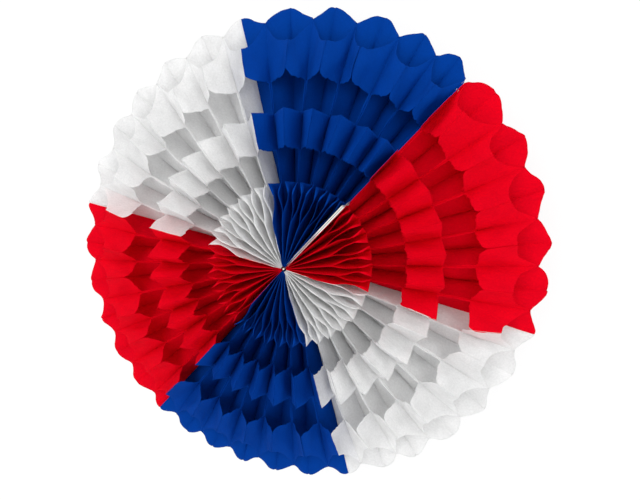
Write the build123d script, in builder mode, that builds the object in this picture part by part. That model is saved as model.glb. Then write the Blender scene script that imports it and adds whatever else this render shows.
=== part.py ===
"""Paper fan rosette: a honeycomb tissue pad opened through a full turn, lying on its back.

The rosette is a pad of 72 tissue leaves between two cardboard covers. Every leaf is a strip that runs
from the hub to the rim. Glue lines run along the strips, and neighbouring leaves are glued by turns on
the middle line, which makes a ridge, and on the two lines beside it, which makes a valley. The teeth
along both long edges lean over to meet at the ridges. So the opened pad is a ring of honeycomb tubes
that point outwards. The long edges are die cut into three teeth with two gaps between them, and the
outer end is cut to a point. Millimetres, +Z up along the axis, the back of the rosette on Z = 0.
"""

from build123d import *
from math import cos, degrees, pi, radians, sin, sqrt, tan
import os

# The leaves: the glue lines are one pitch apart, the free edge is one reach beyond the outer line
glue_pitch = 20.0
tooth_reach = 32.0
leaf_thickness = 0.8
glue_width = 4.0
rim_tooth_rise = 6.0

# The long edges of a leaf, from the axis outwards: three teeth, two gaps, the taper and the point
inner_tooth = 62.0
inner_gap = 28.0
middle_tooth = 29.0
outer_gap = 24.0
outer_tooth = 25.0
rim_taper = 22.0
rim_point = 10.0

# The opened pad: the width of its cells at the rim, and the core where the leaves touch
rim_cell_width = 35.0
core_radius = 12.0

# The cardboard covers, the adhesive between them and the thread at the hub
seam_direction = 46.1
card_thickness = 0.8
card_start = 3.0
card_rim_inset = 20.0
card_reveal = 1.5
adhesive_thickness = 0.4
adhesive_start = 20.0
adhesive_rim_inset = 40.0
adhesive_width = 24.0
thread_diameter = 1.2

# The six colours anticlockwise from the seam, with the part of the full turn that each was opened to
colours = {
    "tissue_blue_top": 56.7,
    "tissue_white_upper_left": 63.2,
    "tissue_red_left": 61.2,
    "tissue_blue_bottom": 54.2,
    "tissue_white_lower_right": 60.5,
    "tissue_red_right": 64.2,
}

inner_tooth_end = inner_tooth
middle_tooth_start = inner_tooth_end + inner_gap
middle_tooth_end = middle_tooth_start + middle_tooth
outer_tooth_start = middle_tooth_end + outer_gap
outer_tooth_end = outer_tooth_start + outer_tooth
valley_radius = outer_tooth_end + rim_taper
tip_radius = valley_radius + rim_point
card_end = tip_radius - card_rim_inset
adhesive_end = tip_radius - adhesive_rim_inset
valleys_per_colour = round(2 * pi * tip_radius / rim_cell_width / len(colours))
valley_count = valleys_per_colour * len(colours)
seam_half_width = card_thickness + adhesive_thickness / 2
seam_lead = (seam_half_width + leaf_thickness) / valley_radius
mean_half_pitch = (pi - seam_lead) / (valley_count - 1)
pad_height = 2 * (glue_pitch + tooth_reach)
full_rise_end = (middle_tooth_end + outer_tooth_start) / 2
wall_stations = (core_radius, full_rise_end, tip_radius + 1)


def half_width(radius, half_pitch=mean_half_pitch):
    """Half the width of a honeycomb tube at a radius, from half the angle between two valleys."""
    return radius * tan(half_pitch)


def glue_rise(radius):
    """Height between two glue lines: the strip between them leans over as its tube widens."""
    return sqrt(glue_pitch**2 - half_width(radius) ** 2)


def full_rise(radius):
    """Height over its glue line of a tooth with the full reach."""
    return sqrt(tooth_reach**2 - half_width(radius) ** 2)


def tooth_rise(radius, side):
    """Height of a tooth over its glue line: in front it falls from the outer gap to the rim."""
    if side < 0:
        return full_rise(radius)
    start = full_rise(min(radius, full_rise_end))
    beyond = max(radius - full_rise_end, 0) / (wall_stations[-1] - full_rise_end)
    return start + (rim_tooth_rise - start) * beyond


def middle_line(radius):
    """Height of the middle glue line when the teeth at the back rest on the ground."""
    return glue_rise(radius) + full_rise(radius)


def glue_line(radius, side):
    """Height of the glue line in front (side 1) or behind (side -1)."""
    return middle_line(radius) + side * glue_rise(radius)


def free_edge(radius, side):
    """Height of the ends of the teeth in front or behind."""
    return glue_line(radius, side) + side * tooth_rise(radius, side)


def gap_edge(radius, side):
    """Height of the cut edge in a gap, just past the glue line."""
    return glue_line(radius, side) + side * glue_width / 2


def clear_share(radius, half_pitch):
    """The share of a tube's section that is left clear between its paper walls."""
    wall_reach = half_width(radius, half_pitch) * glue_rise(radius) / glue_pitch
    return 1 - leaf_thickness / 2 / wall_reach


def valley_tube(radius, half_pitch):
    """The closed rhombus at a valley, between the two outer glue lines."""
    share = clear_share(radius, half_pitch)
    middle = middle_line(radius)
    across = share * half_width(radius, half_pitch)
    up = share * glue_rise(radius)
    return [(0, middle - up), (across, middle), (0, middle + up), (-across, middle)]


def ridge_tube(radius, half_pitch, side):
    """The closed kite at a ridge, from the middle glue line to the ends of the teeth."""
    share = clear_share(radius, half_pitch)
    shoulder = glue_line(radius, side)
    across = share * half_width(radius, half_pitch)
    near = shoulder - side * share * glue_rise(radius)
    far = shoulder + side * share * tooth_rise(radius, side)
    return [(0, near), (across, shoulder), (0, far), (-across, shoulder)]


def valley_groove(radius, half_pitch, side):
    """The open groove at a valley, from its outer glue line past the ends of the teeth."""
    share = clear_share(radius, half_pitch)
    across = share * half_width(radius, half_pitch)
    floor = glue_line(radius, side) + side * (1 - share) * tooth_rise(radius, side)
    brim = free_edge(radius, side)
    outside = brim + side * 10.0
    return [(0, floor), (across, brim), (across, outside), (-across, outside), (-across, brim)]


def hollow(angle, section, half_pitch, *side):
    """A space between leaves, with straight walls through its section at the wall stations."""
    outwards = Vector(cos(angle), sin(angle), 0)
    sideways = Vector(-sin(angle), cos(angle), 0)
    with BuildPart() as space:
        for radius in wall_stations:
            with BuildSketch(Plane(origin=outwards * radius, x_dir=sideways, z_dir=outwards)):
                Polygon(*section(radius, half_pitch, *side), align=None)
        loft(ruled=True)
    return space.part


def valley_hollows(half_pitch):
    """The tube and the two grooves at the valley along +X."""
    yield hollow(0, valley_tube, half_pitch)
    yield hollow(0, valley_groove, half_pitch, 1)
    yield hollow(0, valley_groove, half_pitch, -1)


def ridge_hollows(half_pitch, hand):
    """The two tubes at the ridge on one side of the valley along +X."""
    yield hollow(hand * half_pitch, ridge_tube, half_pitch, 1)
    yield hollow(hand * half_pitch, ridge_tube, half_pitch, -1)


def ridge_plane(half_pitch, hand):
    """The upright plane through a ridge, facing the valley along +X."""
    return Plane(origin=(0, 0, 0), z_dir=(sin(half_pitch), -hand * cos(half_pitch), 0))


def seam_plane(distance):
    """The plane beside the first cover, seen from the first valley along +X."""
    away = Vector(sin(seam_lead), cos(seam_lead), 0)
    return Plane(origin=away * distance, z_dir=away)


def toothed_edge(side):
    """The cut edge of a leaf from the hub to the valley point at the rim."""
    points = [(thread_diameter / 2, free_edge(0, side))]
    for tooth_end, tooth_start in ((inner_tooth_end, middle_tooth_start), (middle_tooth_end, outer_tooth_start)):
        points.append((tooth_end, free_edge(tooth_end, side)))
        points.append((tooth_end, gap_edge(tooth_end, side)))
        points.append((tooth_start, gap_edge(tooth_start, side)))
        points.append((tooth_start, free_edge(tooth_start, side)))
    points.append((outer_tooth_end, free_edge(outer_tooth_end, side)))
    points.append((valley_radius, glue_line(valley_radius, side)))
    return points


def leaf_block(half_pitch):
    """A thick block with the outline of the leaves, along +X."""
    with BuildPart() as block:
        with BuildSketch(Plane.XZ):
            with BuildLine():
                Polyline(
                    *toothed_edge(-1),
                    (tip_radius, middle_line(tip_radius)),
                    *reversed(toothed_edge(1)),
                    close=True,
                )
            make_face()
        extrude(amount=1.2 * half_width(tip_radius, half_pitch), both=True)
    return block.part


def valley_cell(half_pitch):
    """The leaves between two ridges, with the valley between them along +X."""
    with BuildPart() as cell:
        add(leaf_block(half_pitch))
        split(bisect_by=ridge_plane(half_pitch, 1), keep=Keep.TOP)
        split(bisect_by=ridge_plane(half_pitch, -1), keep=Keep.TOP)
        for space in (
            *valley_hollows(half_pitch),
            *ridge_hollows(half_pitch, 1),
            *ridge_hollows(half_pitch, -1),
        ):
            add(space, mode=Mode.SUBTRACT)
    return cell.part


def seam_cell(half_pitch):
    """The leaves between a cover and the first ridge: the first leaf lies flat on the cover."""
    with BuildPart() as beside_leaf:
        add(list(valley_hollows(half_pitch)))
        split(bisect_by=seam_plane(seam_half_width + leaf_thickness), keep=Keep.TOP)
    with BuildPart() as cell:
        add(leaf_block(half_pitch))
        split(bisect_by=ridge_plane(half_pitch, 1), keep=Keep.TOP)
        split(bisect_by=seam_plane(seam_half_width), keep=Keep.TOP)
        for space in (*beside_leaf.part.solids(), *ridge_hollows(half_pitch, 1)):
            add(space, mode=Mode.SUBTRACT)
    return cell.part


def colour_pack(first_cell, half_pitch):
    """The leaves of one colour, glued to each other, with the first valley along +X."""
    cell = valley_cell(half_pitch)
    turned = [cell.rotate(Axis.Z, degrees(2 * half_pitch * place)) for place in range(1, valleys_per_colour)]
    with BuildPart() as pack:
        add([first_cell, *turned], clean=False)
    return pack.part


def middle_pack(turn):
    """A colour between two others, with its first ridge along +X."""
    half_pitch = turn / (2 * valleys_per_colour)
    return colour_pack(valley_cell(half_pitch), half_pitch).rotate(Axis.Z, degrees(half_pitch))


def seam_pack(turn):
    """A colour beside a cover, with the seam along +X.

    Near the hub several valleys stop at the cover, and the leaf on the cover has no petal of its own.
    """
    half_pitch = (turn - seam_lead) / (2 * valleys_per_colour - 1)
    leaves = colour_pack(seam_cell(half_pitch), half_pitch)
    with BuildPart() as pack:
        add(leaves.rotate(Axis.Z, degrees(seam_lead)))
        split(bisect_by=Plane.ZX.offset(seam_half_width), keep=Keep.TOP)
        with Locations((valley_radius, seam_half_width, 0)):
            Box(
                2 * rim_point,
                leaf_thickness,
                pad_height,
                align=(Align.MIN, Align.MIN, Align.MIN),
                mode=Mode.SUBTRACT,
            )
    return pack.part


def plate(outline, near, far):
    """A flat upright plate along the seam, between two distances from the seam plane."""
    with BuildPart() as sheet:
        with BuildSketch(Plane.XZ.offset(-far)):
            with BuildLine():
                Polyline(*outline, close=True)
            make_face()
        extrude(amount=far - near)
    return sheet.part


def cover_outline():
    """A cover fills the inner tooth less a reveal, and stays behind the leaves further out."""
    back, front = [
        [
            (card_start, free_edge(inner_tooth_end, side) - side * card_reveal),
            (inner_tooth_end - card_reveal, free_edge(inner_tooth_end, side) - side * card_reveal),
            (inner_tooth_end - card_reveal, gap_edge(inner_tooth_end, side) - side * card_reveal),
            (card_end, gap_edge(card_end, side) - side * card_reveal),
        ]
        for side in (-1, 1)
    ]
    front[0] = (card_start, free_edge(card_start, 1) - card_reveal)
    return [*back, *reversed(front)]


def adhesive_outline():
    """The strip of adhesive follows the middle line of the pad."""
    ends = (adhesive_start, adhesive_end)
    below = [(radius, middle_line(radius) - adhesive_width / 2) for radius in ends]
    above = [(radius, middle_line(radius) + adhesive_width / 2) for radius in ends]
    return [*below, *reversed(above)]


def save(part, name, direction):
    """Turn a piece from +X to its direction in degrees, label it and export it."""
    with BuildPart() as piece:
        add(part.rotate(Axis.Z, direction))
    piece.part.label = name
    export_step(piece.part, f"parts/{name}.step")


os.makedirs("parts", exist_ok=True)

# The leaves: the first and the last colour lie against the covers, the last one mirrored
direction = seam_direction
for name, opening in colours.items():
    turn = 360 * opening / sum(colours.values())
    if name == list(colours)[0]:
        save(seam_pack(radians(turn)), name, direction)
    elif name == list(colours)[-1]:
        save(mirror(seam_pack(radians(turn)), about=Plane.XZ), name, seam_direction)
    else:
        save(middle_pack(radians(turn)), name, direction)
    direction += turn

# The covers, their adhesive and the thread
save(plate(cover_outline(), adhesive_thickness / 2, seam_half_width), "cover_card_blue_side", seam_direction)
save(plate(cover_outline(), -seam_half_width, -adhesive_thickness / 2), "cover_card_red_side", seam_direction)
save(plate(adhesive_outline(), -adhesive_thickness / 2, adhesive_thickness / 2), "seam_adhesive", seam_direction)
with BuildPart() as thread:
    Cylinder(thread_diameter / 2, pad_height, align=(Align.CENTER, Align.CENTER, Align.MIN))
save(thread.part, "hub_thread", 0)
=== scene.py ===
"""The looks of a paper fan rosette: tissue leaves, cover cards, thread and stage around its CAD frame.

The rosette is a pad of 72 tissue leaves, opened through a full turn. Every leaf is a strip from the hub
to the rim, glued to its neighbours along lines that run with the strip, with a toothed edge in front and
behind. Each leaf is one numpy grid: r is the distance along the strip, s the distance across it.
"""

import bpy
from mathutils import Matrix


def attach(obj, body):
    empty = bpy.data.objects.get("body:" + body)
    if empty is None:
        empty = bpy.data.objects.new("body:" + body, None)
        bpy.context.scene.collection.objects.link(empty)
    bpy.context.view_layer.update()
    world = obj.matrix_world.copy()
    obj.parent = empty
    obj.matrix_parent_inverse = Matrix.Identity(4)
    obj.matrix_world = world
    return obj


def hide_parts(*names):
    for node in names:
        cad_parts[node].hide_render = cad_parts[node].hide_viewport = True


bl_info = {
    "name": "Paper fan rosette",
    "version": (1, 0, 0),
    "blender": (4, 5, 0),
    "location": "View3D > Sidebar > Rosette",
    "description": "Builds a honeycomb tissue rosette with toothed leaves between two cover cards",
    "category": "Add Mesh",
}

import math

import bpy
import numpy as np
from mathutils import Vector

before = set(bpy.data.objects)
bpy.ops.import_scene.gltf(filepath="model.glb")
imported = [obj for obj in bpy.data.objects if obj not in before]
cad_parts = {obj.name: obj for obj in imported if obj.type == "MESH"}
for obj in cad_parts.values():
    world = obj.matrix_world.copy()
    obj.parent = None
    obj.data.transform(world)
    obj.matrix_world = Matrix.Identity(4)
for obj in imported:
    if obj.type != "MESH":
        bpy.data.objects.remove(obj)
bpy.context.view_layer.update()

MM = 0.001
COLOURS = (
    ("tissue_blue_top", "blue"),
    ("tissue_white_upper_left", "white"),
    ("tissue_red_left", "red"),
    ("tissue_blue_bottom", "blue"),
    ("tissue_white_lower_right", "white"),
    ("tissue_red_right", "red"),
)
LEAVES = 12
# Valleys and ridges follow each other round the pad, from one cover to the other
LAST_PLANE = LEAVES * len(COLOURS) - 2
# Angle at the rim that a cover and the leaf on it take up on each side of the seam, in degrees
SEAM_LEAD = 0.54
# Degrees that the middle of each colour was pulled round, so its cells opened unevenly
UNEVEN = (-2.0, 0.4, 0.8, -1.0, -1.2, -1.1)
# Planes on each side that the step between two openings is averaged over
SMOOTHING = 3
JITTER_SEED, LEAN_SEED, PAPER_SEED = 7, 11, 100
# Phases that a leaf draws: 9 for its cuts, 5 for its edges, 6 for its bow, 1 for its node, 3 to spare
PHASES = 24

# Grid of a leaf: steps in its three teeth and two gaps from the hub out, steps to an outer glue line, and
# the places of the lines across a tooth
BLOCK_STEPS = (25, 9, 12, 8, 19)
TOOTH_BLOCKS = (0, 2, 4)
RIM_BLOCK = 4
CORE_STEPS = 10
TOOTH_PLACES = (0.0, 0.08, 0.17, 0.27, 0.37, 0.47, 0.57, 0.67, 0.76, 0.84, 0.9, 0.95, 0.98, 1.0)
# Keeps a divisor off zero
TINY = 1e-6

# Outline of the rim: how bell shaped a petal is, the powers of its flank and of the taper, and how much
# of the rounding its free corner has
PETAL_BELL = 0.4
PETAL_POWER = 2.2
TAPER_POWER = 2.3
CORNER_CUT = 0.7

# Waves in the cuts and free edges: wavelengths, then sizes
END_DECKLE = ((0.023, 0.0083, 0.0046), (0.5 * MM, 0.35 * MM, 0.3 * MM))
START_DECKLE = ((0.026, 0.0091, 0.0051), (0.5 * MM, 0.35 * MM, 0.3 * MM))
RIM_DECKLE = ((0.031, 0.011, 0.0053), (0.35 * MM, 0.15 * MM, 0.1 * MM))
EDGE_WANDER = ((0.031, 0.0127, 0.0061), (0.5 * MM, 0.35 * MM, 0.2 * MM))
GAP_WANDER = ((0.017, 0.0071), (0.35 * MM, 0.2 * MM))
# The deckle fades in across the tooth, and fades out along it or over a part of the rim tooth
CUT_FADE = 4 * MM
CUT_REACH = 14 * MM
RIM_FADE = 1 / 6
# Where along the waves the back edge starts, so that it isn't cut like the front
BACK_SHIFT = 0.3

# Waves that bow the paper: wavelengths, then shares of a cell, and how much the waves slant
BOW_ALONG = ((0.083, 0.047, 0.029), (0.5, 0.32, 0.2))
BOW_ACROSS = ((0.052, 0.026), (0.3, 0.2))
BOW_SIDE = ((0.11,), (0.35,))
SLANT_ALONG, SLANT_ACROSS = 0.6, 0.3

# The teeth meet at this part of their height and are rounded by this part of the softness
TOOTH_MEET = 0.95
TOOTH_ROUND = 0.6
# The inner edges part beyond a node that wanders, close again just past the tooth, and part over the rest
# of the tooth's height
NODE_WANDER = 5 * MM
PART_LENGTH = 13 * MM
CLOSE_PAST, CLOSE_LENGTH = 3 * MM, 9 * MM
PART_ACROSS = 0.45

# Where the ridges start to lean, the front teeth to sink and the petal tips to lift, and over what length
LEAN_START, LEAN_LENGTH = 70 * MM, 20 * MM
DROOP_START, DROOP_LENGTH = 20 * MM, 50 * MM
LIFT_START, LIFT_LENGTH = 145 * MM, 55 * MM
# The lean swings along the strip: wavelength, mean, size and how far its phase is spread
LEAN_WAVE, LEAN_MEAN, LEAN_SWING, LEAN_SPREAD = 120 * MM, 0.7, 0.5, 9
# Part of the lift that is lost at the back edge, and the room under the pad
BACK_LOSS = 0.8
GROUND_ROOM = 0.1 * MM

# Most of a cell that the room for a neighbour's paper takes on each side
INSET_LIMIT = 0.45
# Beyond the cover the seam leaves close over it: where that starts across and along, over what length,
# and how far behind the valley points they end
CLOSE_ACROSS, CLOSE_ACROSS_LENGTH = 0.4 * MM, 1.6 * MM
CLOSE_ALONG_LENGTH = 4 * MM
SEAM_LEAF_SHORT = 1 * MM

# Folds sharper than this get a sharp edge, in degrees
SHARP_ANGLE = 24
# Length of one unit of the paper's UV and of Object coordinates
PAPER_UNIT = 100 * MM
OBJECT_UNIT = 1.0
# Units between the stretches of pattern of two leaves
PAPER_STEP = 1.3

# Patterns of noise: size, detail, roughness, and the lowest and highest brightness
NOISE_LOW, NOISE_HIGH = 0.3, 0.7
CLOUDS = (1.8182 * MM, 5.0, 0.65, 0.93, 1.06)
PATCHES = (16.667 * MM, 3.0, 0.55, 0.95, 1.04)
SPECKLE = (1.1111 * MM, 4.0, 0.7, 0.9, 1.05)
GRAIN = (0.66667 * MM, 3.0, 0.5, 0.92, 1.04)
# Creases are longer along the strip than across it
CREASE_LENGTH, CREASE_WIDTH = 11.111 * MM, 4.5455 * MM
# Share of the light that passes through a sheet of each dye
THROUGH = {"red": 0.46, "white": 0.62, "blue": 0.35}

# Stage: half the side of the floor, how far it lies below the pad, the share of plain white that it is
# seen with, the lamps, and the width in pixels that the focal length is counted in
FLOOR_HALF = 1.6
FLOOR_DROP = 0.2 * MM
FLOOR_GLOW = 0.8
LAMP_AIM = (0, 0, 0.05)
KEY_PLACE, KEY_SIZE = (-0.55, 0.75, 1.1), 0.7
FILL_PLACE, FILL_SIZE = (0.9, -0.2, 0.9), 0.9
FRAME_WIDTH = 640
SENSOR_WIDTH = 36.0
NEAREST_SEEN = 10 * MM


def linear(hex_colour):
    """sRGB hex colour as linear red, green and blue: the sRGB transfer curve of each channel."""
    channels = [int(hex_colour[i : i + 2], 16) / 255 for i in (1, 3, 5)]
    return [c / 12.92 if c <= 0.04045 else ((c + 0.055) / 1.055) ** 2.4 for c in channels]


def length(name, description, default):
    """A length property in metres with its default in millimetres."""
    return bpy.props.FloatProperty(
        name=name, description=description, default=default * MM, min=0.0, unit="LENGTH", precision=5
    )


def angle(name, description, default):
    """An angle property with its default in degrees."""
    return bpy.props.FloatProperty(
        name=name, description=description, default=math.radians(default), subtype="ANGLE"
    )


def share(name, description, default, high=1.0):
    """A plain number between 0 and high."""
    return bpy.props.FloatProperty(name=name, description=description, default=default, min=0.0, max=high)


def colour(name, description, hex_colour):
    """A colour property with its default as sRGB hex."""
    return bpy.props.FloatVectorProperty(
        name=name,
        description=description,
        default=linear(hex_colour),
        subtype="COLOR",
        size=3,
        min=0.0,
        max=1.0,
    )


class RosetteLeaves(bpy.types.PropertyGroup):
    """Sizes of a tissue leaf and of the pad that the leaves are glued into."""

    glue_pitch: length("Glue pitch", "Distance between neighbouring glue lines", 20.0)
    tooth_reach: length("Tooth reach", "From the outer glue line to the free edge", 32.0)
    gap_margin: length("Gap margin", "Paper left beyond the glue line in a gap", 2.4)
    hub_radius: length("Hub radius", "Where the leaves start, beside the thread", 2.0)
    inner_tooth: length("Inner tooth end", "Radius where the inner tooth ends", 62.0)
    middle_start: length("Middle tooth start", "Radius where the middle tooth starts", 87.0)
    middle_end: length("Middle tooth end", "Radius where the middle tooth ends", 115.0)
    outer_start: length("Outer tooth start", "Radius where the outer tooth starts", 140.0)
    outer_end: length("Outer tooth end", "Radius of the outer tooth's free corner", 168.0)
    rim_tooth_rise: length("Rim tooth rise", "Height of the ridge over its glue lines at the rim", 6.0)
    droop: length("Droop", "How far the front teeth have sunk beside the hub", 9.0)
    valley_radius: length("Valley radius", "Radius of the notch between two petals", 190.0)
    tip_radius: length("Tip radius", "Radius of a petal's tip", 200.0)
    corner: length("Tooth corner", "Rounding of a sharp die cut corner", 2.5)
    arch: length("Arch", "Rounding where a tooth arches over its cell", 9.0)
    node_radius: length("Node radius", "Where the inner tooth's glued edges part", 36.0)
    flare: share("Flare", "How far the inner edges part between their nodes", 0.7)
    thickness: length("Paper thickness", "Thickness drawn for a leaf", 0.16)
    spacing: length("Leaf spacing", "Room left between a leaf and its glue plane", 0.07)
    seam_offset: length("Seam offset", "From the seam plane to the first leaf's middle", 1.12)
    rim_lift: length("Rim lift", "How far the petal tips curl up", 9.0)
    buckle: share("Buckle", "How far the paper bows between its glue lines", 0.16)
    lean: share("Lean", "How far the ridges lean over, as a share of half a cell", 0.2)
    softness: share("Softness", "How round the folds are at the glue lines", 0.55)


class RosetteOpening(bpy.types.PropertyGroup):
    """How the pad was opened by hand: the direction of its seam and the angle of every colour."""

    seam: angle("Seam", "Direction of the seam between the covers", 46.1)
    blue_top: angle("Blue top", "Opening of the first colour", 56.7)
    white_upper_left: angle("White upper left", "Opening of the second colour", 63.2)
    red_left: angle("Red left", "Opening of the third colour", 61.2)
    blue_bottom: angle("Blue bottom", "Opening of the fourth colour", 54.2)
    white_lower_right: angle("White lower right", "Opening of the fifth colour", 60.5)
    jitter: angle("Jitter", "How unevenly the single cells opened", 0.35)


class RosetteColours(bpy.types.PropertyGroup):
    """Colours of the tissue, card, thread and stage."""

    red: colour("Red tissue", "Dyed red tissue", "#F10023")
    white: colour("White tissue", "Bleached tissue", "#F8F8F8")
    blue: colour("Blue tissue", "Dyed blue tissue", "#0042A4")
    card: colour("Card", "Grey white cover board", "#DAD9D4")
    adhesive: colour("Adhesive", "Dried double sided tape", "#E3DFD0")
    thread: colour("Thread", "Cotton binding thread", "#D9D6CE")
    floor: colour("Floor", "Pale studio floor", "#F4F4F4")


class RosetteStage(bpy.types.PropertyGroup):
    """Camera, lamps and floor."""

    camera_x: length("Camera X", "Camera place along X", 66.9)
    camera_y: length("Camera Y", "Camera place along Y", 47.8)
    camera_z: length("Camera Z", "Camera height", 376.5)
    tilt_x: angle("Camera tilt X", "Camera turn about X", -7.12)
    tilt_y: angle("Camera tilt Y", "Camera turn about Y", 8.38)
    tilt_z: angle("Camera tilt Z", "Camera turn about Z", -0.66)
    focal_px: share("Focal length", "Focal length in pixels of a frame 640 wide", 400.0, 2000.0)
    world: share("World light", "Strength of the even light from all round", 1.19, 5.0)
    key: share("Key light", "Power of the large lamp in watts", 3.5, 500.0)
    fill: share("Fill light", "Power of the second lamp in watts", 1.5, 500.0)


def ease(x):
    """Smooth step: 3x squared minus 2x cubed, held at 0 and 1."""
    x = np.clip(x, 0.0, 1.0)
    return x * x * (3 - 2 * x)


def waves(x, lengths, sizes, phases):
    """Sum of sines, one for each wavelength, size and phase; phases holds one set for each leaf."""
    total = 0.0
    for i, (wavelength, size) in enumerate(zip(lengths, sizes)):
        total = total + size * np.sin(2 * np.pi * x / wavelength + phases[:, i, None, None])
    return total


def glue_plane_angles(opening):
    """Directions of the 36 valleys and 35 ridges.

    Each colour ends on a ridge, and between two ends the ridges and valleys share the angle evenly. A
    running mean smooths the step between two colours, a parabola bows the middle of each colour, and
    every plane but the two at the seam gets a little jitter.
    """
    openings = (
        opening.blue_top,
        opening.white_upper_left,
        opening.red_left,
        opening.blue_bottom,
        opening.white_lower_right,
    )
    ends = np.array([0, *(LEAVES - 1 + LEAVES * np.arange(len(openings))), LAST_PLANE])
    anchors = np.array([0, *np.cumsum(openings), 2 * np.pi])
    steps = np.arange(LAST_PLANE + 1)
    even = np.pad(np.interp(steps, ends, anchors), SMOOTHING, mode="reflect", reflect_type="odd")
    window = 2 * SMOOTHING + 1
    smooth = np.convolve(even, np.ones(window) / window, "valid")
    for start, end, bow in zip(ends[:-1], ends[1:], UNEVEN):
        place = np.clip((2 * steps - start - end) / (end - start), -1.0, 1.0)
        smooth = smooth + math.radians(bow) * (1 - place**2)
    shake = np.random.default_rng(JITTER_SEED).normal(0.0, 1.0, steps.size) * opening.jitter
    shake[[0, -1]] = 0.0
    planes = opening.seam + smooth + shake
    return planes[0::2], planes[1::2]


def cut_radii(leaf):
    """Radii where the teeth and gaps of a leaf start and end, from the hub out."""
    return (
        leaf.hub_radius,
        leaf.inner_tooth,
        leaf.middle_start,
        leaf.middle_end,
        leaf.outer_start,
        leaf.outer_end,
    )


def across_limits(leaf):
    """Distances from the middle line to the cut edge in a gap and to the free edge of a tooth."""
    return leaf.glue_pitch + leaf.gap_margin, leaf.glue_pitch + leaf.tooth_reach


def grid_lines(leaf):
    """Lines of the leaf grid: radial stations (radius, block, share of the block) and lines across.

    The blocks are the teeth and the gaps. Ease crowds the stations towards both ends of a tooth.
    """
    stations, blocks, shares = [], [], []
    cuts = cut_radii(leaf)
    for block, count in enumerate(BLOCK_STEPS):
        part = np.linspace(0.0, 1.0, count + 1)
        if block in TOOTH_BLOCKS:
            part = 0.5 * part + 0.5 * ease(part)
        if block != RIM_BLOCK:
            part = part[:-1]
        stations.append(cuts[block] + part * (cuts[block + 1] - cuts[block]))
        blocks.append(np.full(part.shape, block))
        shares.append(part)
    gap, edge = across_limits(leaf)
    core = np.linspace(0.0, leaf.glue_pitch, CORE_STEPS + 1)
    half = np.concatenate([core, gap + (edge - gap) * np.array(TOOTH_PLACES)])
    across = np.concatenate([-half[:0:-1], half])
    return np.concatenate(stations), np.concatenate(blocks), np.concatenate(shares), across


def corner_rounding(leaf, s, corner):
    """How far a quarter circle at the free edge cuts into the end of a tooth."""
    edge = across_limits(leaf)[1]
    near = np.clip((np.abs(s) - (edge - corner)) / np.maximum(corner, TINY), 0.0, 1.0)
    return corner * (1 - np.sqrt(1 - near**2))


def rim_radius(leaf, s):
    """End of the strip: a bell shaped petal to the outer glue lines, then a taper to the free corner.

    The petal falls by a mix of ease and a power of the distance from the middle line, the taper by a power
    of the distance left to the free edge, and the free corner is rounded by a quarter circle.
    """
    place = np.clip(np.abs(s) / leaf.glue_pitch, 0.0, 1.0)
    fall = PETAL_BELL * ease(place) + (1 - PETAL_BELL) * place**PETAL_POWER
    petal = leaf.tip_radius - (leaf.tip_radius - leaf.valley_radius) * fall
    x = np.clip((np.abs(s) - leaf.glue_pitch) / leaf.tooth_reach, 0.0, 1.0)
    taper = leaf.valley_radius - (leaf.valley_radius - leaf.outer_end) * (1 - (1 - x) ** TAPER_POWER)
    end = np.where(np.abs(s) <= leaf.glue_pitch, petal, taper)
    return end - CORNER_CUT * corner_rounding(leaf, s, leaf.corner)


def cut_shift(leaf, r, s, block, w, phases):
    """How far the die cut moves each point along its strip: rounded corners and a deckle.

    They grow by ease over CUT_FADE from the line of the gap's edge, and fade out in a straight line over
    CUT_REACH from the end of a tooth. At the rim only a deckle is left, on the last part of the strip.
    """
    out = ease((np.abs(s) - across_limits(leaf)[0]) / CUT_FADE)
    end_corner = np.array([leaf.arch, 0.0, leaf.corner, 0.0, 0.0])[block]
    start_corner = np.array([0.0, 0.0, leaf.corner, 0.0, leaf.arch])[block]
    sided = s + np.where(s > 0, 0.0, BACK_SHIFT)
    deckle_end = waves(sided, *END_DECKLE, phases[:, 0:3])
    deckle_start = waves(sided, *START_DECKLE, phases[:, 3:6])
    cuts = np.array(cut_radii(leaf))
    to_end = cuts[1:][block] - r
    from_start = r - cuts[:-1][block]
    near_end = np.clip(1 - to_end / CUT_REACH, 0.0, 1.0) * np.isin(block, TOOTH_BLOCKS[:2])
    near_start = np.clip(1 - from_start / CUT_REACH, 0.0, 1.0) * np.isin(block, TOOTH_BLOCKS[1:])
    shift = out * near_end * (deckle_end - corner_rounding(leaf, s, end_corner))
    shift = shift + out * near_start * (deckle_start + corner_rounding(leaf, s, start_corner))
    near_rim = np.clip(1 - (1 - w) / RIM_FADE, 0.0, 1.0) * (block == RIM_BLOCK)
    return shift + near_rim * waves(sided, *RIM_DECKLE, phases[:, 6:9])


def wandering_reach(leaf, along, s, block, phases):
    """Distance from the middle line, with the waves that make free edges and gap edges wander a little."""
    gap, edge = across_limits(leaf)
    in_tooth = np.isin(block, TOOTH_BLOCKS)
    free = ease((np.abs(s) - gap) / (edge - gap))
    wander = waves(along, *EDGE_WANDER, phases[:, 9:12])
    gap_wander = waves(along, *GAP_WANDER, phases[:, 12:14])
    at_gap = np.isclose(np.abs(s), gap) & ~in_tooth
    return np.abs(s) + free * wander * in_tooth + at_gap * gap_wander


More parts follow.
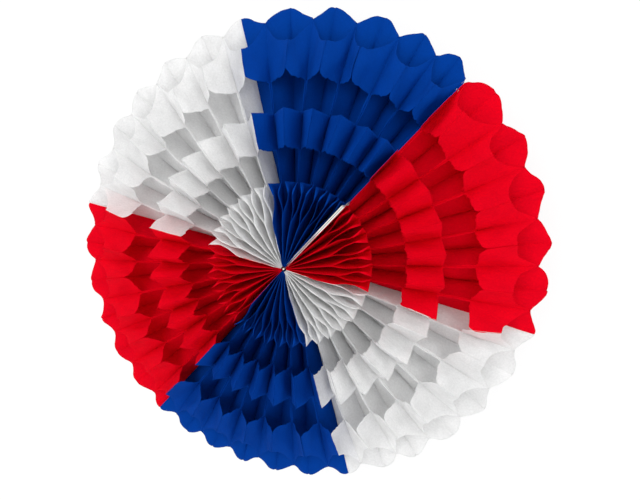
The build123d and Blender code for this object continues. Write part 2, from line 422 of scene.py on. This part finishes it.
def fold_share(leaf, along, u_core, u_tooth, in_core, phases):
    """Share of the way from a leaf's ridge plane (0) to its valley plane (1), up and down by turns.

    Softness mixes a cosine into the straight line of the glued middle and a parabola into that of the
    teeth. Beyond a node beside the hub the free edges of the inner tooth part again by the flare.
    """
    round_core = 0.5 - 0.5 * np.cos(np.pi * u_core)
    soft = leaf.softness * (1 - (np.clip(along / leaf.tip_radius, 0, 1)) ** 3)
    core = u_core + soft * (round_core - u_core)
    v = np.clip(u_tooth / TOOTH_MEET, 0.0, 1.0)
    tooth = 1 - (v + TOOTH_ROUND * soft * (v * v - v))
    node = leaf.node_radius + NODE_WANDER * np.sin(phases[:, 20, None, None])
    parted = ease((along - node) / PART_LENGTH)
    parted = parted * ease((leaf.inner_tooth + CLOSE_PAST - along) / CLOSE_LENGTH)
    tooth = tooth + leaf.flare * parted * ease((u_tooth - PART_ACROSS) / (1 - PART_ACROSS))
    return np.where(in_core, core, tooth)


def paper_bow(leaf, along, s, u_core, u_tooth, in_core, phases):
    """How far the paper bows between its glue lines: sums of waves, held to 0 on the lines by a sine."""
    panel = np.where(in_core, np.sin(np.pi * u_core), np.sin(np.pi * np.clip(u_tooth, 0, 1)))
    bow = waves(along + SLANT_ALONG * s, *BOW_ALONG, phases[:, 14:17])
    bow = bow + waves(s - SLANT_ACROSS * along, *BOW_ACROSS, phases[:, 17:19])
    return leaf.buckle * panel * (bow + waves(along, *BOW_SIDE, phases[:, 19:20]))


def ridge_lean(leaf, along, s, u_tooth, number):
    """Both leaves of a ridge lean to one side together, each ridge its own way in front and behind.

    The lean grows with the distance over the glue line and swings by a sine along the strip.
    """
    leans = np.random.default_rng(LEAN_SEED).normal(0.0, leaf.lean, (LEAVES * len(COLOURS), 3))
    front, behind, turn = (leans[(number + 1) // 2, i] for i in range(3))
    phase = LEAN_SPREAD * turn / leaf.lean
    swing = LEAN_MEAN + LEAN_SWING * np.sin(2 * np.pi * along / LEAN_WAVE + phase)
    hand = np.where(number % 2 == 1, 1.0, -1.0)
    grown = np.clip(u_tooth, 0.0, 1.0) * ease((along - LEAN_START) / LEAN_LENGTH)
    return hand * np.where(s > 0, front, behind) * swing * grown


def leaf_heights(leaf, along, s, u_core, u_tooth, in_core):
    """Heights: the pad lies on the ends of its back teeth, so every level follows the rises below it.

    A strip rises by the side of a right triangle, with the strip as its long side and the cell's half
    width as its base. The front teeth have sunk: by ease beside the hub, then in a straight line from the
    middle of the outer gap to the rim. The petal tips lift by ease, most on the middle line.
    """
    half_pitch = (2 * np.pi - 2 * math.radians(SEAM_LEAD)) / LAST_PLANE
    half_width = along * math.tan(half_pitch)
    glue_rise = np.sqrt(leaf.glue_pitch**2 - half_width**2)
    upright = np.sqrt(leaf.tooth_reach**2 - half_width**2)
    middle = glue_rise + upright
    full_end = (leaf.middle_end + leaf.outer_start) / 2
    beyond = np.clip((along - full_end) / (leaf.tip_radius - full_end), 0.0, 1.0)
    full = np.sqrt(leaf.tooth_reach**2 - (full_end * math.tan(half_pitch)) ** 2) - leaf.droop
    sinking = leaf.droop * ease((along - DROOP_START) / DROOP_LENGTH)
    sunken = np.where(beyond > 0, full + (leaf.rim_tooth_rise - full) * beyond, upright - sinking)
    side = np.sign(s)
    z_core = middle + side * glue_rise * u_core
    z_tooth = middle + side * (glue_rise + np.where(s > 0, sunken, upright) * u_tooth)
    lift = leaf.rim_lift * ease((along - LIFT_START) / LIFT_LENGTH)
    front_share = 0.5 + 0.5 * np.cos(np.pi * np.clip(s / leaf.glue_pitch, 0.0, 1.0))
    back_share = 1.0 - BACK_LOSS * ease(-s / across_limits(leaf)[1])
    z = np.where(in_core, z_core, z_tooth) + lift * np.where(s > 0, front_share, back_share)
    return np.maximum(z, GROUND_ROOM)


def between_planes(leaf, opening, number, along, t):
    """Points a share t of the way from each leaf's ridge plane to its valley plane, in a straight line.

    Beside the seam, the valley plane clears the cover. An inset on each plane leaves room for the paper of
    the leaf on its other side.
    """
    valleys, ridges = glue_plane_angles(opening)
    valley_of = number // 2
    valley = valleys[valley_of]
    ridge = ridges[np.clip((number - 1) // 2, 0, ridges.size - 1)]
    seam_side = np.where(valley_of == 0, 1.0, np.where(valley_of == valleys.size - 1, -1.0, 0.0))
    beside = seam_side * (leaf.seam_offset + 2 * leaf.spacing)
    valley_x = along * np.cos(valley) - beside * np.sin(valley)
    valley_y = along * np.sin(valley) + beside * np.cos(valley)
    ridge_x = along * np.cos(ridge)
    ridge_y = along * np.sin(ridge)
    width = np.hypot(valley_x - ridge_x, valley_y - ridge_y)
    inset = np.clip(leaf.spacing / np.maximum(width, TINY), 0.0, INSET_LIMIT)
    t = inset + (1 - 2 * inset) * t
    return ridge_x + (valley_x - ridge_x) * t, ridge_y + (valley_y - ridge_y) * t


def on_covers(leaf, opening, number, along, s, x, y):
    """Lays the first and the last leaf flat on the cover cards, each at the seam offset on its side.

    Beyond the inner tooth and past the glue lines, ease brings the two together over the covers.
    """
    flat = (number == 0) | (number == LEAVES * len(COLOURS) - 1)
    cover_side = np.where(number == 0, 1.0, -1.0)
    over = ease((np.abs(s) - leaf.glue_pitch - CLOSE_ACROSS) / CLOSE_ACROSS_LENGTH)
    over = over * ease((along - leaf.inner_tooth) / CLOSE_ALONG_LENGTH)
    off = cover_side * (leaf.seam_offset - (leaf.seam_offset - leaf.spacing) * over)
    out = np.minimum(along, leaf.valley_radius - SEAM_LEAF_SHORT)
    flat_x = out * math.cos(opening.seam) - off * math.sin(opening.seam)
    flat_y = out * math.sin(opening.seam) + off * math.cos(opening.seam)
    return np.where(flat, flat_x, x), np.where(flat, flat_y, y)


def leaf_grids(leaf, opening, first):
    """Positions of twelve leaves: shape (12, radial, across, 3), with r and s of every point.

    A point lies between its ridge plane and its valley plane: on the ridge at the middle line and the
    free edge, on the valley at the outer glue lines. Bow and lean move it between the two.
    """
    stations, blocks, shares, across = grid_lines(leaf)
    number = first + np.arange(LEAVES)[:, None, None]
    phases = np.random.default_rng(PAPER_SEED + first).uniform(0.0, 2 * np.pi, (LEAVES, PHASES))
    block = blocks[None, :, None]
    w = shares[None, :, None]
    s = np.broadcast_to(across, (LEAVES, stations.size, across.size))
    to_rim = leaf.outer_start + w * (rim_radius(leaf, s) - leaf.outer_start)
    r = np.where(block == RIM_BLOCK, to_rim, stations[None, :, None])
    along = r + cut_shift(leaf, r, s, block, w, phases)
    reach = wandering_reach(leaf, along, s, block, phases)
    in_core = reach <= leaf.glue_pitch
    u_core = np.clip(reach / leaf.glue_pitch, 0.0, 1.0)
    u_tooth = (reach - leaf.glue_pitch) / leaf.tooth_reach
    t = fold_share(leaf, along, u_core, u_tooth, in_core, phases)
    t = np.clip(t + paper_bow(leaf, along, s, u_core, u_tooth, in_core, phases), 0.0, 1.0)
    t = t + ridge_lean(leaf, along, s, u_tooth, number)
    x, y = between_planes(leaf, opening, number, along, t)
    x, y = on_covers(leaf, opening, number, along, s, x, y)
    z = leaf_heights(leaf, along, s, u_core, u_tooth, in_core)
    return np.stack([x, y, z], -1), along, s, blocks, across


def add_mesh(name, points, faces, material, uvs=None):
    """Mesh object from point and face arrays, with optional UVs and sharp edges along its folds."""
    mesh = bpy.data.meshes.new(name)
    mesh.vertices.add(len(points))
    mesh.vertices.foreach_set("co", np.asarray(points, np.float32).ravel())
    mesh.loops.add(faces.size)
    mesh.loops.foreach_set("vertex_index", faces.astype(np.int32).ravel())
    mesh.polygons.add(len(faces))
    mesh.polygons.foreach_set("loop_start", np.arange(0, faces.size, faces.shape[1], dtype=np.int32))
    mesh.polygons.foreach_set("use_smooth", np.ones(len(faces), bool))
    mesh.update(calc_edges=True)
    mesh.set_sharp_from_angle(angle=math.radians(SHARP_ANGLE))
    if uvs is not None:
        layer = mesh.uv_layers.new(name="paper")
        layer.data.foreach_set("uv", np.asarray(uvs, np.float32)[faces.ravel()].ravel())
    mesh.materials.append(material)
    piece = bpy.data.objects.new(name, mesh)
    bpy.context.scene.collection.objects.link(piece)
    return piece


def tissue_pack(name, order, material):
    """The twelve leaves of one colour as one object, with the gaps between the teeth left out.

    U runs along the strip and V across it, and each leaf has its own stretch of the pattern.
    """
    settings = bpy.context.scene
    leaf, opening = settings.rosette_leaves, settings.rosette_opening
    points, along, s, blocks, across = leaf_grids(leaf, opening, order * LEAVES)
    count, radial, wide, _ = points.shape
    index = np.arange(count * radial * wide).reshape(count, radial, wide)
    corners = [index[:, :-1, :-1], index[:, 1:, :-1], index[:, 1:, 1:], index[:, :-1, 1:]]
    faces = np.stack(corners, -1)
    gap = across_limits(leaf)[0]
    middle_s = np.abs(across[:-1] + across[1:]) / 2
    keep = (middle_s[None, :] < gap) | np.isin(blocks[:-1], TOOTH_BLOCKS)[:, None]
    faces = faces[np.repeat(keep[None], count, 0)]
    used, compact = np.unique(faces, return_inverse=True)
    faces = compact.reshape(faces.shape)
    number = np.repeat(np.arange(count), radial * wide)
    uvs = np.stack([along.ravel() / PAPER_UNIT, s.ravel() / PAPER_UNIT + PAPER_STEP * number], -1)[used]
    piece = add_mesh(name + "_leaves", points.reshape(-1, 3)[used], faces, material, uvs)
    thicken = piece.modifiers.new("thickness", "SOLIDIFY")
    thicken.thickness = leaf.thickness
    thicken.offset = 0.0
    return piece


def add_node(owner, kind, settings=None, inputs=None):
    """Adds a node to a material or world, sets its properties and fills or links its inputs."""
    tree = owner.node_tree
    node = tree.nodes.new(kind)
    for key, value in (settings or {}).items():
        setattr(node, key, value)
    for key, value in (inputs or {}).items():
        if isinstance(value, bpy.types.NodeSocket):
            tree.links.new(value, node.inputs[key])
        else:
            node.inputs[key].default_value = value
    return node


def new_material(name):
    """An empty node material with its output node."""
    material = bpy.data.materials.new(name)
    material.use_nodes = True
    material.node_tree.nodes.clear()
    output = add_node(material, "ShaderNodeOutputMaterial")
    return material, output


def mottled(material, base, place, unit, patterns):
    """The base colour with its brightness varied by patterns of noise, and the last pattern's noise.

    The brightnesses of the patterns are multiplied. Unit is the length of one unit of place.
    """
    brightness = 1.0
    for size, detail, roughness, low, high in patterns:
        noise = add_node(
            material,
            "ShaderNodeTexNoise",
            inputs={"Vector": place, "Scale": unit / size, "Detail": detail, "Roughness": roughness},
        ).outputs["Fac"]
        spread = add_node(
            material,
            "ShaderNodeMapRange",
            inputs={
                "Value": noise,
                "From Min": NOISE_LOW,
                "From Max": NOISE_HIGH,
                "To Min": low,
                "To Max": high,
            },
        ).outputs["Result"]
        brightness = add_node(
            material, "ShaderNodeMath", {"operation": "MULTIPLY"}, {0: brightness, 1: spread}
        ).outputs["Value"]
    shade = add_node(
        material, "ShaderNodeHueSaturation", inputs={"Color": (*base, 1.0), "Value": brightness}
    ).outputs["Color"]
    return shade, noise


def tissue_material(name, base, through):
    """Machine glazed tissue paper of 17 g/m2, dyed in the pulp and creased by handling.

    Its fibres gather in clouds almost two millimetres across and in patches of some 17 mm, so the colour
    is slightly mottled. Fine creases run along the strip. It is dull, and so thin that light from behind
    glows through it.
    """
    material, output = new_material(name)
    uv = add_node(material, "ShaderNodeUVMap", {"uv_map": "paper"}).outputs["UV"]
    shade, _ = mottled(material, base, uv, PAPER_UNIT, (CLOUDS, PATCHES))
    stretched = add_node(
        material,
        "ShaderNodeMapping",
        inputs={"Vector": uv, "Scale": (PAPER_UNIT / CREASE_LENGTH, PAPER_UNIT / CREASE_WIDTH, 1.0)},
    ).outputs["Vector"]
    creases = add_node(
        material,
        "ShaderNodeTexNoise",
        inputs={"Vector": stretched, "Scale": 1.0, "Detail": 4.0, "Roughness": 0.6},
    ).outputs["Fac"]
    bump = add_node(
        material, "ShaderNodeBump", inputs={"Height": creases, "Strength": 0.35, "Distance": 0.9 * MM}
    ).outputs["Normal"]
    surface = add_node(
        material,
        "ShaderNodeBsdfPrincipled",
        inputs={"Base Color": shade, "Roughness": 0.82, "Specular IOR Level": 0.04, "Normal": bump},
    ).outputs["BSDF"]
    glow = add_node(
        material, "ShaderNodeBsdfTranslucent", inputs={"Color": shade, "Normal": bump}
    ).outputs["BSDF"]
    mixed = add_node(
        material, "ShaderNodeMixShader", inputs={0: through, 1: surface, 2: glow}
    ).outputs["Shader"]
    material.node_tree.links.new(mixed, output.inputs["Surface"])
    return material


def board_material(name, base):
    """Grey white cover board: pressed waste fibre, matt, with a faint speckle about a millimetre across."""
    material, output = new_material(name)
    place = add_node(material, "ShaderNodeTexCoord").outputs["Object"]
    shade, speckle = mottled(material, base, place, OBJECT_UNIT, (SPECKLE,))
    bump = add_node(
        material, "ShaderNodeBump", inputs={"Height": speckle, "Strength": 0.3, "Distance": 0.1 * MM}
    ).outputs["Normal"]
    surface = add_node(
        material,
        "ShaderNodeBsdfPrincipled",
        inputs={"Base Color": shade, "Roughness": 0.85, "Specular IOR Level": 0.3, "Normal": bump},
    ).outputs["BSDF"]
    material.node_tree.links.new(surface, output.inputs["Surface"])
    return material


def plain_material(name, base, roughness):
    """An evenly coloured finish with a slight grain: rough for cotton thread, smoother for dried tape."""
    material, output = new_material(name)
    place = add_node(material, "ShaderNodeTexCoord").outputs["Object"]
    shade, _ = mottled(material, base, place, OBJECT_UNIT, (GRAIN,))
    surface = add_node(
        material, "ShaderNodeBsdfPrincipled", inputs={"Base Color": shade, "Roughness": roughness}
    ).outputs["BSDF"]
    material.node_tree.links.new(surface, output.inputs["Surface"])
    return material


def floor_material(name, base):
    """Pale matt studio floor. It lights the rosette like a matt sheet, but is seen as almost pure white."""
    material, output = new_material(name)
    matt = add_node(material, "ShaderNodeBsdfDiffuse", inputs={"Color": (*base, 1.0)}).outputs["BSDF"]
    white = add_node(
        material, "ShaderNodeEmission", inputs={"Color": (1, 1, 1, 1), "Strength": 1.0}
    ).outputs["Emission"]
    path = add_node(material, "ShaderNodeLightPath")
    seen = path.outputs["Is Camera Ray"]
    for kind in ("Is Glossy Ray", "Is Transmission Ray"):
        seen = add_node(
            material, "ShaderNodeMath", {"operation": "MAXIMUM"}, {0: seen, 1: path.outputs[kind]}
        ).outputs["Value"]
    part = add_node(
        material, "ShaderNodeMath", {"operation": "MULTIPLY"}, {0: seen, 1: FLOOR_GLOW}
    ).outputs["Value"]
    mixed = add_node(material, "ShaderNodeMixShader", inputs={0: part, 1: matt, 2: white}).outputs["Shader"]
    material.node_tree.links.new(mixed, output.inputs["Surface"])
    return material


def white_world(strength):
    """Even white light from all round, plain white where the camera sees it."""
    world = bpy.data.worlds.new("studio_world")
    world.use_nodes = True
    background = world.node_tree.nodes["Background"]
    background.inputs["Color"].default_value = (1, 1, 1, 1)
    seen = add_node(world, "ShaderNodeLightPath").outputs["Is Camera Ray"]
    level = add_node(
        world, "ShaderNodeMix", {"data_type": "FLOAT"}, {"Factor": seen, "A": strength, "B": 1.0}
    ).outputs["Result"]
    world.node_tree.links.new(level, background.inputs["Strength"])
    return world


def add_lamp(name, place, size, power):
    """A square lamp at place that faces the middle of the rosette."""
    data = bpy.data.lights.new(name, "AREA")
    data.size = size
    data.energy = power
    lamp = bpy.data.objects.new(name, data)
    lamp.location = place
    lamp.rotation_euler = (Vector(LAMP_AIM) - Vector(place)).to_track_quat("-Z", "Y").to_euler()
    bpy.context.scene.collection.objects.link(lamp)


def add_camera(stage):
    """The camera: its place, its turn and its lens, from a focal length in pixels."""
    data = bpy.data.cameras.new("camera")
    data.sensor_width = SENSOR_WIDTH
    data.lens = stage.focal_px / FRAME_WIDTH * data.sensor_width
    data.clip_start = NEAREST_SEEN
    camera = bpy.data.objects.new("camera", data)
    camera.location = (stage.camera_x, stage.camera_y, stage.camera_z)
    camera.rotation_euler = (stage.tilt_x, stage.tilt_y, stage.tilt_z)
    bpy.context.scene.collection.objects.link(camera)
    return camera


class ROSETTE_OT_tissue(bpy.types.Operator):
    """Builds the six colours of tissue leaves and their paper"""

    bl_idname = "rosette.tissue"
    bl_label = "Tissue leaves"

    def execute(self, context):
        colours = context.scene.rosette_colours
        papers = {
            dye: tissue_material("tissue_paper_" + dye, tuple(getattr(colours, dye)), through)
            for dye, through in THROUGH.items()
        }
        for order, (node, dye) in enumerate(COLOURS):
            piece = tissue_pack(node, order, papers[dye])
            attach(piece, "root")
            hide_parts(node)
        return {"FINISHED"}


class ROSETTE_OT_covers(bpy.types.Operator):
    """Gives the cover cards, their adhesive and the thread their materials"""

    bl_idname = "rosette.covers"
    bl_label = "Covers and thread"

    def execute(self, context):
        colours = context.scene.rosette_colours
        board = board_material("cover_board", tuple(colours.card))
        tape = plain_material("dried_tape", tuple(colours.adhesive), 0.5)
        cotton = plain_material("cotton_thread", tuple(colours.thread), 0.9)
        finishes = {
            "cover_card_blue_side": board,
            "cover_card_red_side": board,
            "seam_adhesive": tape,
            "hub_thread": cotton,
        }
        for node, material in finishes.items():
            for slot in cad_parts[node].material_slots:
                slot.material = material
        return {"FINISHED"}


class ROSETTE_OT_stage(bpy.types.Operator):
    """Adds the floor, the lamps and the camera"""

    bl_idname = "rosette.stage"
    bl_label = "Stage"

    def execute(self, context):
        scene = context.scene
        stage = scene.rosette_stage
        matt = floor_material("studio_floor", tuple(scene.rosette_colours.floor))
        corners = FLOOR_HALF * np.array([[-1.0, -1, 0], [1, -1, 0], [1, 1, 0], [-1, 1, 0]])
        corners[:, 2] = -FLOOR_DROP
        floor = add_mesh("studio_floor", corners, np.array([[0, 1, 2, 3]]), matt)
        scene.world = white_world(stage.world)
        add_lamp("key_lamp", KEY_PLACE, KEY_SIZE, stage.key)
        add_lamp("fill_lamp", FILL_PLACE, FILL_SIZE, stage.fill)
        scene.camera = add_camera(stage)
        scene.view_settings.view_transform = "Standard"
        return {"FINISHED"}


class ROSETTE_PT_panel(bpy.types.Panel):
    """Lists the steps that build the rosette"""

    bl_label = "Paper fan rosette"
    bl_idname = "ROSETTE_PT_panel"
    bl_space_type = "VIEW_3D"
    bl_region_type = "UI"
    bl_category = "Rosette"

    def draw(self, context):
        for step in STEPS:
            self.layout.operator(step.bl_idname)


GROUPS = {
    "rosette_leaves": RosetteLeaves,
    "rosette_opening": RosetteOpening,
    "rosette_colours": RosetteColours,
    "rosette_stage": RosetteStage,
}
STEPS = (ROSETTE_OT_tissue, ROSETTE_OT_covers, ROSETTE_OT_stage)


def register():
    """Registers the classes and hangs their settings on the scene."""
    for name, group in GROUPS.items():
        bpy.utils.register_class(group)
        setattr(bpy.types.Scene, name, bpy.props.PointerProperty(type=group))
    for entry in (*STEPS, ROSETTE_PT_panel):
        bpy.utils.register_class(entry)


def unregister():
    """Takes the settings and the classes away again."""
    for entry in (ROSETTE_PT_panel, *reversed(STEPS)):
        bpy.utils.unregister_class(entry)
    for name, group in reversed(GROUPS.items()):
        delattr(bpy.types.Scene, name)
        bpy.utils.unregister_class(group)


def main():
    """Builds everything in order."""
    register()
    bpy.ops.rosette.tissue()
    bpy.ops.rosette.covers()
    bpy.ops.rosette.stage()


if __name__ == "__main__":
    main()
